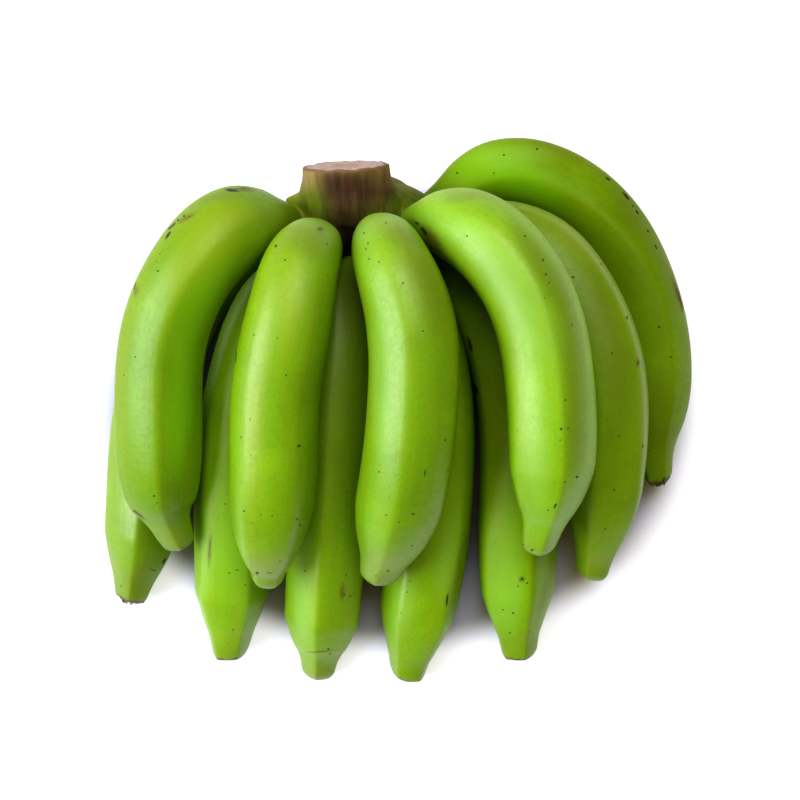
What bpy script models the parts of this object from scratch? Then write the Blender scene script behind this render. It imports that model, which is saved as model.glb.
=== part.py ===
import math

import bmesh
import bpy
from mathutils import Vector

# Scene

for old in list(bpy.data.objects):
    bpy.data.objects.remove(old, do_unlink=True)

MM = 0.001
BUNCH = bpy.data.collections.new("bunch_of_bananas")
bpy.context.scene.collection.children.link(BUNCH)
FORMS = bpy.data.collections.new("cutting_forms")
bpy.context.scene.collection.children.link(FORMS)

# Sizes shared by every finger, in mm unless a note says otherwise

SIDES = 20
RIDGES = 5
RIDGE_DEPTH = 0.72
RIDGE_SOFT = 6.0
NECK_GAP = 0.35
FLOOR = 0.0

# Fullness of a finger along its length: place from neck to blossom end, share of its girth
FULLNESS = (
    (0.0, 0.385), (0.04, 0.39), (0.09, 0.505), (0.15, 0.74), (0.22, 0.90), (0.31, 0.97),
    (0.45, 1.0), (0.70, 1.0), (0.78, 0.975), (0.84, 0.895), (0.88, 0.775), (0.915, 0.61),
    (0.94, 0.485), (0.96, 0.425), (0.985, 0.38), (1.0, 0.27),
)

# Places along a finger that carry a ring
RINGS = (
    0.0, 0.035, 0.07, 0.105, 0.14, 0.175, 0.21, 0.25, 0.30, 0.36, 0.43, 0.50, 0.57, 0.64,
    0.70, 0.755, 0.805, 0.85, 0.885, 0.915, 0.94, 0.962, 0.985, 1.0,
)

# Cushion of the crown, centre and half sizes
PAD_CENTRE = (-15.0, 75.0, 25.0)
PAD_HALF = (31.0, 16.0, 25.4)

# Stub of the crown: centre line from the cushion to the cut, half width, half height
STUB = (
    ((-17.0, 72.0, 28.0), 24.0, 16.0),
    ((-18.5, 79.5, 33.0), 23.0, 15.2),
    ((-20.5, 84.5, 37.5), 20.4, 13.6),
    ((-21.5, 89.5, 40.0), 18.0, 12.2),
    ((-22.0, 97.5, 42.0), 17.4, 11.6),
)
STUB_SIDES = 32
STUB_TILT = 10.0
CUT_CENTRE = (-22.0, 94.6, 41.5)

# Centre line of each finger from neck to blossom end, half girth, turn of the ridges in degrees
FINGERS = {
    "finger_a": (19.3, 0.0, (
        (-41, 70, 31), (-47.5, 73, 40), (-54.5, 70.5, 49), (-67, 66, 61), (-82, 49.5, 66),
        (-93, 22, 61), (-96, -12, 54), (-94.5, -42.5, 44), (-88.5, -59, 37))),
    "finger_b": (19.2, -36.0, (
        (-28, 66, 35), (-31, 63.5, 47), (-34.5, 60, 62), (-38.5, 52.5, 74), (-43, 33, 78.5),
        (-48.5, 4, 74), (-50, -27.5, 66), (-52, -56, 53), (-53, -72.5, 43))),
    "finger_c": (19.6, 13.0, (
        (-12, 66.5, 35), (-10, 64.5, 48), (-7, 62, 64), (-3, 53, 76), (3.5, 34, 79),
        (5.5, 6, 75), (3, -23.5, 67), (-3, -52, 53), (-9.5, -72, 42))),
    "finger_d": (19.4, -17.0, (
        (0, 68.5, 34.5), (6.5, 71, 44), (14, 71, 53.5), (29, 66, 68), (46.5, 47.5, 72.5),
        (57, 17.5, 69.5), (59.5, -12, 65), (58.5, -40, 55.5), (54.5, -59.5, 46))),
    "finger_e": (18.0, 10.0, (
        (3.5, 71.5, 25.5), (17, 71, 30.5), (29, 69.5, 34.5), (42, 67, 38.5), (58, 59, 43),
        (72, 41.5, 44), (83, 12.5, 42.5), (84.5, -18, 37), (82.5, -49, 25), (78.5, -72, 14))),
    "finger_f": (17.3, -24.0, (
        (1.5, 73, 16.5), (20.5, 84, 18), (37, 93, 18), (63, 90, 16.5), (87.5, 68, 15.5),
        (101, 38, 15.7), (105, 6, 15.8), (105, -16.5, 15.2), (107.5, -34, 13))),
    "finger_g": (17.8, -12.0, (
        (-36, 66, 17.5), (-44.5, 64.5, 18), (-57, 62, 21), (-78, 51, 20), (-94, 25, 17.5),
        (-103.5, -8.5, 16.4), (-107, -41.5, 15.1), (-110, -65, 11), (-112, -81.5, 7.5))),
    "finger_h": (18.2, 25.0, (
        (-26.5, 64, 22.5), (-32.5, 55, 25.5), (-40.5, 51.5, 30.5), (-51.5, 39, 36), (-61, 12, 36.5),
        (-66.5, -16.5, 33), (-68.5, -49, 25), (-69.5, -78.5, 15), (-69.5, -106, 4.7))),
    "finger_i": (17.9, -3.0, (
        (-16, 64, 25.5), (-16.8, 56.5, 29), (-22, 47, 35), (-24, 30.5, 39), (-26, 4, 38),
        (-27.5, -24.5, 33), (-29.5, -57.5, 25), (-31.5, -85, 15.5), (-34.5, -115.5, 4.4))),
    "finger_j": (18.4, 8.0, (
        (-5.5, 64, 23), (-1.5, 56.5, 28.5), (0, 48, 34), (7, 30.5, 38.5), (13, 4, 37),
        (14, -24.5, 31.5), (12.5, -57.5, 22.5), (8.5, -87, 15), (4, -115.5, 4.4))),
    "finger_k": (18.4, -11.0, (
        (1.5, 65.5, 13.5), (10, 59.5, 16.5), (20.5, 53, 21), (36, 36.5, 30.5), (45, 12, 35),
        (48.5, -16.5, 30.5), (49, -49.5, 23.5), (49, -78.5, 15), (50, -105.5, 4.2))),
}

# Colours of the crown and of each finger's peel
CROWN_COLOUR = (0.110, 0.105, 0.030)
PEEL = {
    "finger_a": (0.245, 0.455, 0.022),
    "finger_b": (0.235, 0.490, 0.030),
    "finger_c": (0.225, 0.480, 0.028),
    "finger_d": (0.225, 0.470, 0.026),
    "finger_e": (0.170, 0.370, 0.018),
    "finger_f": (0.150, 0.330, 0.014),
    "finger_g": (0.205, 0.440, 0.028),
    "finger_h": (0.200, 0.430, 0.024),
    "finger_i": (0.190, 0.420, 0.022),
    "finger_j": (0.190, 0.415, 0.022),
    "finger_k": (0.190, 0.415, 0.022),
}


def make_material(name, colour, roughness):
    mat = bpy.data.materials.new(name)
    mat.use_nodes = True
    shader = mat.node_tree.nodes["Principled BSDF"]
    shader.inputs["Base Color"].default_value = (*colour, 1.0)
    shader.inputs["Roughness"].default_value = roughness
    shader.inputs["Metallic"].default_value = 0.0
    return mat


def new_object(name, bm, collection):
    mesh = bpy.data.meshes.new(name)
    bmesh.ops.recalc_face_normals(bm, faces=bm.faces[:])
    bm.to_mesh(mesh)
    bm.free()
    obj = bpy.data.objects.new(name, mesh)
    collection.objects.link(obj)
    return obj


def apply_modifiers(obj):
    graph = bpy.context.evaluated_depsgraph_get()
    done = bpy.data.meshes.new_from_object(obj.evaluated_get(graph))
    obj.modifiers.clear()
    obj.data = done


def helper(name, bm):
    obj = new_object(name, bm, FORMS)
    obj.hide_render = True
    obj.display_type = "WIRE"
    return obj


def cut_by(obj, cutter, operation="DIFFERENCE"):
    mod = obj.modifiers.new("cut", "BOOLEAN")
    mod.operation = operation
    mod.solver = "EXACT"
    mod.object = cutter
    apply_modifiers(obj)


# Smooth curve through hand-placed points

def second_slopes(knots, values):
    count = len(knots)
    gaps = [knots[i + 1] - knots[i] for i in range(count - 1)]
    low = [0.0] * count
    mid = [1.0] * count
    high = [0.0] * count
    right = [0.0] * count
    for i in range(1, count - 1):
        low[i] = gaps[i - 1]
        mid[i] = 2.0 * (gaps[i - 1] + gaps[i])
        high[i] = gaps[i]
        rise_after = (values[i + 1] - values[i]) / gaps[i]
        rise_before = (values[i] - values[i - 1]) / gaps[i - 1]
        right[i] = 6.0 * (rise_after - rise_before)
    for i in range(1, count):
        share = low[i] / mid[i - 1]
        mid[i] -= share * high[i - 1]
        right[i] -= share * right[i - 1]
    bend = [0.0] * count
    bend[-1] = right[-1] / mid[-1]
    for i in range(count - 2, -1, -1):
        bend[i] = (right[i] - high[i] * bend[i + 1]) / mid[i]
    return bend


def cubic(knots, values, bend, at):
    i = 0
    while i < len(knots) - 2 and at > knots[i + 1]:
        i += 1
    gap = knots[i + 1] - knots[i]
    a = knots[i + 1] - at
    b = at - knots[i]
    part = (bend[i] * a ** 3 + bend[i + 1] * b ** 3) / (6.0 * gap)
    part += (values[i] / gap - bend[i] * gap / 6.0) * a
    part += (values[i + 1] / gap - bend[i + 1] * gap / 6.0) * b
    return part


def centre_line(points, steps=400):
    knots = [0.0]
    for a, b in zip(points, points[1:]):
        knots.append(knots[-1] + (Vector(b) - Vector(a)).length)
    axes = [[p[k] for p in points] for k in range(3)]
    bends = [second_slopes(knots, axis) for axis in axes]
    line = []
    for n in range(steps + 1):
        at = knots[-1] * n / steps
        line.append(Vector([cubic(knots, axes[k], bends[k], at) for k in range(3)]))
    return line


def even_line(points, count=200):
    raw = centre_line(points)
    run = [0.0]
    for a, b in zip(raw, raw[1:]):
        run.append(run[-1] + (b - a).length)
    line = []
    i = 0
    for n in range(count + 1):
        goal = run[-1] * n / count
        while i < len(run) - 2 and run[i + 1] < goal:
            i += 1
        share = (goal - run[i]) / (run[i + 1] - run[i])
        line.append(raw[i].lerp(raw[i + 1], share))
    return line


def frames(line):
    last = len(line) - 1
    ahead = []
    for i in range(len(line)):
        step = line[min(i + 1, last)] - line[max(i - 1, 0)]
        ahead.append(step.normalized())
    middle = len(line) // 2
    up = Vector((0.0, 0.0, 1.0))
    ups = [None] * len(line)
    ups[middle] = (up - ahead[middle] * up.dot(ahead[middle])).normalized()
    for i in range(middle + 1, len(line)):
        was = ups[i - 1]
        ups[i] = (was - ahead[i] * was.dot(ahead[i])).normalized()
    for i in range(middle - 1, -1, -1):
        was = ups[i + 1]
        ups[i] = (was - ahead[i] * was.dot(ahead[i])).normalized()
    return ahead, ups


def fullness(at):
    places = [p for p, _ in FULLNESS]
    shares = [s for _, s in FULLNESS]
    count = len(places)
    rises = [(shares[i + 1] - shares[i]) / (places[i + 1] - places[i]) for i in range(count - 1)]
    slopes = [0.0] * count
    for i in range(1, count - 1):
        before = rises[i - 1]
        after = rises[i]
        if before * after > 0.0:
            slopes[i] = 2.0 * before * after / (before + after)
    slopes[-1] = rises[-1]
    i = 0
    while i < count - 2 and at > places[i + 1]:
        i += 1
    gap = places[i + 1] - places[i]
    t = (at - places[i]) / gap
    value = (2 * t ** 3 - 3 * t ** 2 + 1) * shares[i]
    value += (t ** 3 - 2 * t ** 2 + t) * gap * slopes[i]
    value += (-2 * t ** 3 + 3 * t ** 2) * shares[i + 1]
    value += (t ** 3 - t ** 2) * gap * slopes[i + 1]
    return value


def ridged(angle):
    wide = 360.0 / RIDGES
    half = wide / 2.0
    off = (math.degrees(angle) + half) % wide - half
    off = min(math.sqrt(off * off + RIDGE_SOFT ** 2), half)
    flat = math.cos(math.radians(half)) / math.cos(math.radians(half - off))
    return 1.0 - RIDGE_DEPTH + RIDGE_DEPTH * flat


def skin_points(points, half_girth, turn, places, sides):
    line = even_line(points)
    ahead, ups = frames(line)
    rings = []
    for place in places:
        i = min(int(round(place * (len(line) - 1))), len(line) - 1)
        up = ups[i]
        side = ahead[i].cross(up)
        girth = half_girth * fullness(place)
        ring = []
        for n in range(sides):
            angle = 2.0 * math.pi * n / sides
            reach = girth * ridged(angle)
            swing = angle + math.radians(turn)
            ring.append(line[i] + (up * math.cos(swing) + side * math.sin(swing)) * reach)
        rings.append(ring)
    return rings


def tube(rings, sides):
    bm = bmesh.new()
    rows = len(rings)
    bmesh.ops.create_grid(bm, x_segments=sides, y_segments=rows - 1, size=1.0)
    for vert in bm.verts:
        n = int(round((vert.co.x + 1.0) / 2.0 * sides)) % sides
        row = int(round((vert.co.y + 1.0) / 2.0 * (rows - 1)))
        vert.co = rings[row][n] * MM
    bmesh.ops.remove_doubles(bm, verts=bm.verts[:], dist=0.00001)
    rim = [edge for edge in bm.edges if edge.is_boundary]
    bmesh.ops.holes_fill(bm, edges=rim, sides=0)
    return bm


def ellipsoid(centre, half, extra, rows, columns):
    bm = bmesh.new()
    bmesh.ops.create_uvsphere(bm, u_segments=columns, v_segments=rows, radius=1.0)
    for vert in bm.verts:
        for k in range(3):
            vert.co[k] = (centre[k] + vert.co[k] * (half[k] + extra)) * MM
    return bm


def rest_on_floor(obj):
    bm = bmesh.new()
    bm.from_mesh(obj.data)
    if min(vert.co.z for vert in bm.verts) < FLOOR * MM:
        parts = bm.verts[:] + bm.edges[:] + bm.faces[:]
        bmesh.ops.bisect_plane(bm, geom=parts, plane_co=(0.0, 0.0, FLOOR * MM),
                               plane_no=(0.0, 0.0, 1.0), clear_inner=True)
        rim = [edge for edge in bm.edges if edge.is_boundary]
        bmesh.ops.holes_fill(bm, edges=rim, sides=0)
    bmesh.ops.triangulate(bm, faces=bm.faces[:])
    bm.to_mesh(obj.data)
    bm.free()


# Crown: cushion and cut stub, joined and softened

stub_rings = []
for centre, half_wide, half_high in STUB:
    ring = []
    lean = math.radians(STUB_TILT)
    for n in range(STUB_SIDES):
        angle = 2.0 * math.pi * n / STUB_SIDES
        across = half_wide * math.cos(angle)
        rise = half_high * math.sin(angle)
        offset = Vector((across, -rise * math.sin(lean), rise * math.cos(lean)))
        ring.append(Vector(centre) + offset)
    stub_rings.append(ring)

crown = new_object("crown", ellipsoid(PAD_CENTRE, PAD_HALF, 0.0, 24, 40), BUNCH)
crown.data.materials.append(make_material("crown_fibre", CROWN_COLOUR, 0.6))
stub = helper("stub_form", tube(stub_rings, STUB_SIDES))
cut_by(crown, stub, "UNION")
remesh = crown.modifiers.new("even", "REMESH")
remesh.mode = "VOXEL"
remesh.voxel_size = 1.4 * MM
soften = crown.modifiers.new("soften", "SMOOTH")
soften.factor = 0.5
soften.iterations = 12
apply_modifiers(crown)
bpy.data.objects.remove(stub, do_unlink=True)

# Cut face of the stub, leaning back by the same tilt as the stub's rings

cut_box = bmesh.new()
bmesh.ops.create_cube(cut_box, size=1.0)
lean = math.radians(STUB_TILT)
for vert in cut_box.verts:
    deep = (vert.co.y + 0.5) * 20.0
    high = vert.co.z * 60.0
    along = deep * math.cos(lean) - high * math.sin(lean)
    rise = deep * math.sin(lean) + high * math.cos(lean)
    vert.co = (Vector(CUT_CENTRE) + Vector((vert.co.x * 60.0, along, rise))) * MM
cutter = helper("cut_form", cut_box)
fewer = crown.modifiers.new("fewer", "DECIMATE")
fewer.ratio = 0.16
apply_modifiers(crown)
cut_by(crown, cutter)
bpy.data.objects.remove(cutter, do_unlink=True)
rest_on_floor(crown)
crown.data.shade_smooth()

# Fingers, each trimmed clear of the cushion

pad = helper("pad_form", ellipsoid(PAD_CENTRE, PAD_HALF, NECK_GAP, 24, 40))
for name, (half_girth, turn, points) in FINGERS.items():
    rings = skin_points(points, half_girth, turn, RINGS, SIDES)
    finger = new_object(name, tube(rings, SIDES), BUNCH)
    finger.data.materials.append(make_material(name + "_peel", PEEL[name], 0.38))
    cut_by(finger, pad)
    rest_on_floor(finger)
    finger.data.shade_smooth()
bpy.data.objects.remove(pad, do_unlink=True)

# Origin at the middle of the bunch's base

corners = [vert.co for obj in BUNCH.objects for vert in obj.data.vertices]
middle = Vector([(min(c[k] for c in corners) + max(c[k] for c in corners)) / 2.0 for k in range(3)])
middle.z = 0.0
for obj in BUNCH.objects:
    obj.location = -middle
    print(obj.name, len(obj.data.polygons), "faces")
bpy.context.view_layer.update()
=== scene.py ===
import math

import bmesh
import bpy
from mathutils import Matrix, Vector, noise
from mathutils.bvhtree import BVHTree


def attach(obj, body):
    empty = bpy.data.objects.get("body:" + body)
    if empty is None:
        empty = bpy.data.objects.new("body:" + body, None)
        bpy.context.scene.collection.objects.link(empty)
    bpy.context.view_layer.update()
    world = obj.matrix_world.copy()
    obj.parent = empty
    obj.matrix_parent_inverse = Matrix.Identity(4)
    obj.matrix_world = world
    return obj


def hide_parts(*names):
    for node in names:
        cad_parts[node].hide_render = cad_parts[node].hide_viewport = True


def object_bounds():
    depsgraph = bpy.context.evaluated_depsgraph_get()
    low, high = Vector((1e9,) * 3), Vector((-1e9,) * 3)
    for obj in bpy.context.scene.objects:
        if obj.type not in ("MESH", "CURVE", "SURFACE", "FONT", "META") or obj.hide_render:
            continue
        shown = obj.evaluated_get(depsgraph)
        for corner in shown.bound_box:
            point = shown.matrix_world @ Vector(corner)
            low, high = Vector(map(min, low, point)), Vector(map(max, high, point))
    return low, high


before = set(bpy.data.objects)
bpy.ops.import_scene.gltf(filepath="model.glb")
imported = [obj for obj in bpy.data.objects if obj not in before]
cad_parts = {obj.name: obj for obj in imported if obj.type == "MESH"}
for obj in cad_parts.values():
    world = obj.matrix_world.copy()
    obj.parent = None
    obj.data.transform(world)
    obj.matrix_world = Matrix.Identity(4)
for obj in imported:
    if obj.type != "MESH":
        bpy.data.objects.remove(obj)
cad_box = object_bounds()

MM = 0.001

# The camera hangs straight over the bunch. Distances in mm, pixels of the 800 by 800 picture
EYE_HEIGHT = 1050.0
PICTURE = 800
MM_PER_PIXEL = 0.42
LENS_SENSOR = 36.0

# Given points are measured from the picture's middle. This carries them to the base's middle
TO_BASE = Vector((0.75, 3.95, 0.0))
# A mark that no line of sight meets goes to the skin nearest to this height, in mm
MARK_HEIGHT = 45.0

# Section of a finger: its ridges, how flat the solid's sides are, the share of radius that wholly
# flat sides lose on average, and how far a ridge is rounded, in degrees on the body and at the end
RIDGES = 5
CAD_DEPTH = 0.72
MEAN_LOSS = 0.105
RIDGE_SOFT = (5.5, 4.2)
# The skin's share of the solid's girth, its points around, and the rows that close each end
SKIN_SHARE = 0.988
AROUND = 110
CAP_ROWS = 7
# Rows along the skin, as stretches: place where it starts, share of the length, rows
STRETCHES = ((0.0, 0.10, 14), (0.10, 0.72, 112), (0.82, 0.18, 44))
# The peel's lengthwise patterns lie on a straight round bar of this radius, in mm
WAY_RADIUS = 17.0
# Slow waves of the skin: share of the girth, mm from the centre line, pace per mm
WAVE_REACH = 0.010
WAVE_RADIUS = 22.0
WAVE_PACE = 0.035
# A slanted end is set back by this share of the finger's half girth
SLANT_BACK = 0.3

# Fullness along a finger: place from neck to blossom end, share of its girth
FULLNESS = (
    (0.0, 0.385), (0.04, 0.39), (0.09, 0.505), (0.15, 0.74), (0.22, 0.90), (0.31, 0.97),
    (0.45, 1.0), (0.70, 1.0), (0.78, 0.975),
)

# Cushion of the crown: centre and half sizes. Stub of the stalk: centre, half width and half height
# of each ring
PAD_CENTRE = (-15.0, 75.0, 25.0)
PAD_HALF = (31.0, 16.0, 24.0)
STUB = (
    ((-17.0, 72.0, 31.5), 23.0, 17.0),
    ((-18.5, 79.5, 35.0), 22.4, 16.0),
    ((-20.5, 84.5, 37.5), 20.4, 13.6),
    ((-21.5, 89.5, 40.0), 18.0, 12.2),
    ((-22.0, 97.5, 42.0), 17.4, 11.6),
)
STUB_SIDES = 64
STUB_TILT = 10.0
# Leaf bases that stand out at the foot of the stub: centres and radii
LEAF_BASES = (
    (((-30.0, 77.5, 32.0), 10.5), ((-36.0, 78.5, 33.0), 8.0), ((-40.5, 79.8, 34.0), 5.0),
     ((-44.0, 80.6, 34.5), 2.6), ((-46.5, 80.9, 34.8), 1.2)),
    (((-12.0, 85.5, 33.0), 5.8), ((-4.0, 86.3, 30.5), 5.2), ((0.4, 85.0, 28.5), 4.8),
     ((4.0, 82.8, 26.5), 4.3), ((7.0, 80.8, 24.5), 3.4), ((10.0, 78.6, 22.5), 2.0)),
)
LEAF_SIDES = 24
# The cut: degrees that it faces up and to the left, its middle, half sizes of its pattern of rings
CUT_TILT = 14.7
CUT_TURN = 2.4
CUT_CENTRE = (-22.0, 94.6, 41.5)
CUT_FACE = (17.2, 60.0, 11.4)
# Roughness of the cut face: mm up or down, pace per m
CUT_ROUGH = 0.5
CUT_PACE = 330.0
# The crown's skin is made of faces of this size in mm, softened this many times
CROWN_GRAIN = 0.6
CROWN_SOFTENING = 12
# Flared roots of the necks: mm to the first ring and from one to the next, widening at the first
# ring, and the share of it that is gone at the last
ROOT_SIDES = 40
ROOT_RINGS = 9
ROOT_START = 1.0
ROOT_PACE = 1.6
ROOT_FLARE = {"finger_a": 1.15, "finger_g": 1.2}
ROOT_FLARE_REST = 1.30
ROOT_NARROWING = 0.28

# Form of each finger. flat: how flat its sides are between the ridges, near the neck, on the body and
# at the blossom end. twist: degrees that the ridges turn back by towards the neck. neck: fullness of
# the upper part, 1 as drawn. slant: how far the end leans towards the picture's right. remnant: how
# far the dry flower scar stands out, in mm. end: share of the girth at each of END_PLACES
END_PLACES = (0.84, 0.88, 0.91, 0.935, 0.955, 0.975, 0.99, 1.0)
FORM = {
    "finger_a": {"flat": (0.10, 0.42, 0.60), "twist": 0.0, "neck": 1.07, "slant": 0.0, "remnant": 0.4,
                 "end": (0.89, 0.765, 0.58, 0.48, 0.44, 0.40, 0.36, 0.25)},
    "finger_b": {"flat": (0.15, 0.22, 0.42), "twist": 0.0, "neck": 0.93, "slant": 0.0, "remnant": 0.3,
                 "end": (0.875, 0.775, 0.67, 0.55, 0.43, 0.38, 0.28, 0.05)},
    "finger_c": {"flat": (0.12, 0.28, 0.48), "twist": 0.0, "neck": 0.89, "slant": -0.10, "remnant": 0.3,
                 "end": (0.875, 0.755, 0.63, 0.53, 0.475, 0.415, 0.29, 0.05)},
    "finger_d": {"flat": (0.26, 0.38, 0.58), "twist": 0.0, "neck": 1.0, "slant": 0.0, "remnant": 0.4,
                 "end": (0.83, 0.68, 0.54, 0.465, 0.425, 0.385, 0.28, 0.06)},
    "finger_e": {"flat": (0.30, 0.42, 0.62), "twist": 0.0, "neck": 1.0, "slant": 0.10, "remnant": 0.4,
                 "end": (0.86, 0.72, 0.60, 0.51, 0.46, 0.43, 0.33, 0.12)},
    "finger_f": {"flat": (0.40, 0.50, 0.70), "twist": 36.0, "neck": 1.0, "slant": -0.10, "remnant": 2.2,
                 "end": (0.895, 0.775, 0.63, 0.51, 0.44, 0.40, 0.36, 0.29)},
    "finger_g": {"flat": (0.30, 0.38, 0.60), "twist": 0.0, "neck": 1.0, "slant": 0.10, "remnant": 2.0,
                 "end": (0.93, 0.82, 0.71, 0.60, 0.52, 0.46, 0.42, 0.37)},
    "finger_h": {"flat": (0.30, 0.48, 0.62), "twist": 0.0, "neck": 1.0, "slant": -0.10, "remnant": 0.5,
                 "end": (0.95, 0.825, 0.72, 0.615, 0.545, 0.49, 0.45, 0.40)},
    "finger_i": {"flat": (0.30, 0.52, 0.66), "twist": 0.0, "neck": 1.0, "slant": 0.0, "remnant": 0.3,
                 "end": (0.955, 0.83, 0.70, 0.545, 0.465, 0.42, 0.31, 0.08)},
    "finger_j": {"flat": (0.30, 0.42, 0.56), "twist": 0.0, "neck": 1.0, "slant": 0.20, "remnant": 0.5,
                 "end": (0.93, 0.82, 0.70, 0.60, 0.52, 0.475, 0.445, 0.39)},
    "finger_k": {"flat": (0.30, 0.52, 0.66), "twist": 0.0, "neck": 1.0, "slant": 0.0, "remnant": 0.6,
                 "end": (0.935, 0.82, 0.70, 0.60, 0.52, 0.475, 0.445, 0.39)},
}

# Centre line of each finger from neck to blossom end, half girth, turn of the ridges in degrees
FINGERS = {
    "finger_a": (19.3, -6.0, (
        (-41, 68.3, 31), (-47.5, 71.7, 40), (-54.5, 71.3, 49), (-67, 67.2, 61), (-82.8, 50.2, 66),
        (-94, 22.4, 61), (-96, -12, 54), (-94.5, -42.5, 44), (-88.5, -59, 37))),
    "finger_b": (19.2, -36.0, (
        (-28, 66, 35), (-31, 63.5, 47), (-34.5, 60, 62), (-38.5, 52.5, 74), (-43, 33, 78.5),
        (-48.5, 4, 74), (-50, -27.5, 66), (-52.2, -56, 53), (-53.4, -74.9, 42))),
    "finger_c": (19.6, 7.0, (
        (-12, 66.5, 35), (-10, 64.5, 48), (-7, 62, 64), (-3, 53, 76), (3.5, 34, 79),
        (5.5, 6, 75), (3, -23.5, 67), (-3, -52, 53), (-10, -74.2, 41.2))),
    "finger_d": (19.4, -11.0, (
        (0, 68.5, 34.5), (6.5, 71, 44), (14, 71, 53.5), (29, 66, 68), (46.5, 47.5, 72.5),
        (57, 17.5, 69.5), (59.5, -12, 65), (58.5, -40, 55.5), (54.3, -61.6, 45.3))),
    "finger_e": (18.0, 25.0, (
        (3.5, 71.5, 25.5), (17, 71, 30.5), (29, 69.5, 34.5), (42, 67, 38.5), (58, 59, 43),
        (72, 41.5, 44), (83, 12.5, 42.5), (84.5, -18, 37), (82.5, -49, 25), (79, -74.4, 13.4))),
    "finger_f": (17.3, -24.0, (
        (1.5, 73, 16.5), (20.5, 84, 18), (37, 93, 18), (63, 90, 16.5), (87.5, 68, 15.5),
        (101, 38, 15.7), (105, 6, 15.8), (105, -16.5, 15.2), (107.5, -34, 13))),
    "finger_g": (17.8, 2.0, (
        (-36, 66, 17.5), (-44.5, 64.5, 18), (-57, 62, 21), (-78, 51, 20), (-94, 25, 17.5),
        (-102.6, -8.5, 16.4), (-105.4, -41.5, 15.1), (-108.8, -65, 11), (-112.4, -82.9, 7.5))),
    "finger_h": (18.2, 40.0, (
        (-26.5, 64, 22.5), (-32.5, 55, 25.5), (-40.5, 51.5, 30.5), (-51.5, 39, 36), (-61, 12, 36.5),
        (-66.5, -16.5, 33), (-68.5, -49, 25), (-70, -78.5, 15), (-71.2, -106.6, 4.9))),
    "finger_i": (17.9, 8.0, (
        (-16, 64, 25.5), (-16.8, 56.5, 29), (-22, 47, 35), (-24, 30.5, 39), (-26, 4, 38),
        (-27.5, -24.5, 33), (-29.5, -57.5, 25), (-31.5, -85, 15.5), (-34.3, -116.6, 4.6))),
    "finger_j": (18.4, 30.0, (
        (-5.5, 64, 23), (-1.5, 56.5, 28.5), (0, 48, 34), (7, 30.5, 38.5), (13, 4, 37),
        (14, -24.5, 31.5), (12.2, -57.5, 22.5), (7.7, -87, 15), (2.6, -115.9, 4.6))),
    "finger_k": (18.4, -20.0, (
        (1.5, 65.5, 13.5), (10, 59.5, 16.5), (20.5, 53, 21), (36, 36.5, 30.5), (45, 12, 35),
        (48.5, -16.5, 30.5), (48, -49.5, 23.5), (48, -78.5, 15), (49.6, -106, 4.6))),
}

# Peel colour of each finger: the full green and the yellower patches, linear values
PEEL = {
    "finger_a": ((0.134, 0.280, 0.003), (0.214, 0.272, 0.004)),
    "finger_b": ((0.161, 0.325, 0.003), (0.223, 0.305, 0.004)),
    "finger_c": ((0.157, 0.322, 0.003), (0.216, 0.298, 0.004)),
    "finger_d": ((0.179, 0.368, 0.003), (0.234, 0.345, 0.004)),
    "finger_e": ((0.157, 0.298, 0.002), (0.214, 0.285, 0.003)),
    "finger_f": ((0.142, 0.264, 0.002), (0.191, 0.242, 0.002)),
    "finger_g": ((0.166, 0.325, 0.003), (0.218, 0.300, 0.004)),
    "finger_h": ((0.203, 0.400, 0.003), (0.262, 0.360, 0.004)),
    "finger_i": ((0.183, 0.362, 0.003), (0.240, 0.330, 0.004)),
    "finger_j": ((0.172, 0.340, 0.003), (0.227, 0.310, 0.004)),
    "finger_k": ((0.179, 0.352, 0.003), (0.234, 0.316, 0.004)),
}

# How waxy each finger is
GLOSS = {
    "finger_a": 0.54, "finger_b": 0.64, "finger_c": 0.74, "finger_d": 0.74, "finger_e": 0.55,
    "finger_f": 0.14, "finger_g": 0.80, "finger_h": 0.70, "finger_i": 0.80, "finger_j": 0.60,
    "finger_k": 0.35,
}

# How dry and brown the very end of each finger is
DRY_RIM = {
    "finger_a": 0.35, "finger_b": 0.25, "finger_c": 0.25, "finger_d": 0.35, "finger_e": 0.25,
    "finger_f": 0.95, "finger_g": 0.95, "finger_h": 0.70, "finger_i": 0.25, "finger_j": 0.45,
    "finger_k": 0.80,
}

# Broad patches of other colour in the peel: linear colour, strength. The bloom patches also paint
# sheen, the fresh ones light and the olive ones shade
PATCHES = {
    "yellow": ((0.235, 0.325, 0.005), 0.42),
    # Olive: olive patches in the peel, also painted shade on the sides away from the left light and
    # under the upper row
    "olive": ((0.140, 0.195, 0.010), 0.50),
    # Fresh: fresher green, also painted light on sides that lie in shade
    "fresh": ((0.185, 0.400, 0.008), 0.60),
    # Pale: paler blossom ends, and painted sheen in thin strips along some edges
    "pale": ((0.215, 0.290, 0.060), 0.50),
    # Bloom: a whitish wax bloom, also the painted sheen of the left light on the lit sides
    "bloom": ((0.235, 0.420, 0.090), 0.38),
}
PATCH_EDGE = 0.65

# Small marks in the peel: linear colour, strength, softness of the edge
SMALL_MARKS = {
    "scar": ((0.024, 0.014, 0.006), 0.92, 0.25),
    "dot": ((0.022, 0.016, 0.003), 0.92, 0.22),
    "stain": ((0.125, 0.100, 0.018), 0.70, 0.75),
}
MARK_DEPTH = 12.0

# Tones that all the peels share, linear values
RIDGE_TONE = (0.21, 0.26, 0.02)
NECK_TONE = (0.100, 0.170, 0.012)
END_TONE = (0.155, 0.240, 0.020)
DRY_TONE = (0.060, 0.040, 0.014)
SCAB_TONES = ((0.050, 0.022, 0.012), (0.300, 0.180, 0.110))
PINPRICK_TONE = (0.060, 0.055, 0.012)
PINPRICKS_PER_MM = 0.30

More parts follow.
